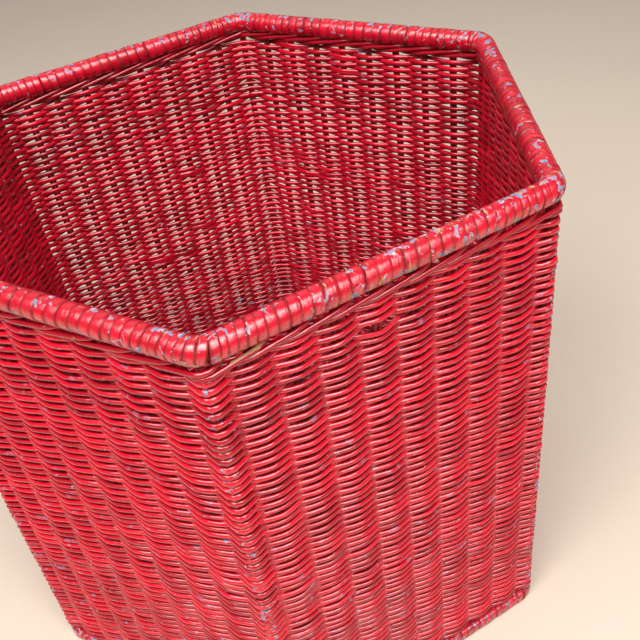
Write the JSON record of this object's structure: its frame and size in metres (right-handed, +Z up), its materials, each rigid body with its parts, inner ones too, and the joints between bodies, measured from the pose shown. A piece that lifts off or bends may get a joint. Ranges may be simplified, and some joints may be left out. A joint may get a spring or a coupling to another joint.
{
  "type": "hexagonal wicker basket",
  "caption": "Open-topped six-sided basket of woven round reed on paired stakes, with a cane-bound rim and foot and a woven base.",
  "frame": {"origin": "centre of the foot's underside, on the floor", "axes": "+Z up along the basket's axis, corners on the X axis, flat sides facing -Y (front) and +Y (back)"},
  "size_m": [0.4044, 0.3552, 0.356],
  "materials": {
    "wall_reed": "gloss red paint over round reed, worn to pale blue paint and bare cane in chips and scuffs",
    "wale_reed": "gloss red paint over round reed, one strand worn to bare cane",
    "rim_cane": "gloss red paint over flat cane, chipped to pale blue and bare cane along the edges",
    "foot_cane": "scuffed red paint over flat cane, worn to blue-grey",
    "stake_reed": "dusty thin red paint over reed",
    "post_rod": "gloss red paint over rattan rod",
    "core_rod": "bare half-round rattan rod",
    "hoop_strip": "bare bent wood strip",
    "base_stick": "thin red paint over rattan rod",
    "base_reed": "dull red paint over round reed",
    "pin_steel": "dull steel wire"
  },
  "bodies": {
    "root": {"base_sticks": "base_stick", "base_weave": "base_reed", "corner_post_back_left": "post_rod", "corner_post_back_right": "post_rod", "corner_post_front_left": "post_rod", "corner_post_front_right": "post_rod", "corner_post_left": "post_rod", "corner_post_right": "post_rod", "foot_binding_back": "foot_cane", "foot_binding_back_left": "foot_cane", "foot_binding_back_right": "foot_cane", "foot_binding_front": "foot_cane", "foot_binding_front_left": "foot_cane", "foot_binding_front_right": "foot_cane", "foot_inner_hoop": "hoop_strip", "foot_outer_hoop": "hoop_strip", "foot_pins": "pin_steel", "rim_binding_back": "rim_cane", "rim_binding_back_left": "rim_cane", "rim_binding_back_right": "rim_cane", "rim_binding_front": "rim_cane", "rim_binding_front_left": "rim_cane", "rim_binding_front_right": "rim_cane", "rim_inner_hoop": "core_rod", "rim_outer_hoop": "core_rod", "rim_pins": "pin_steel", "stakes_back": "stake_reed", "stakes_back_left": "stake_reed", "stakes_back_right": "stake_reed", "stakes_front": "stake_reed", "stakes_front_left": "stake_reed", "stakes_front_right": "stake_reed", "top_wale_back": "wale_reed", "top_wale_back_left": "wale_reed", "top_wale_back_right": "wale_reed", "top_wale_front": "wale_reed", "top_wale_front_left": "wale_reed", "top_wale_front_right": "wale_reed", "wall_weave_back": "wall_reed", "wall_weave_back_left": "wall_reed", "wall_weave_back_right": "wall_reed", "wall_weave_front": "wall_reed", "wall_weave_front_left": "wall_reed", "wall_weave_front_right": "wall_reed"}
  },
  "joints": []
}
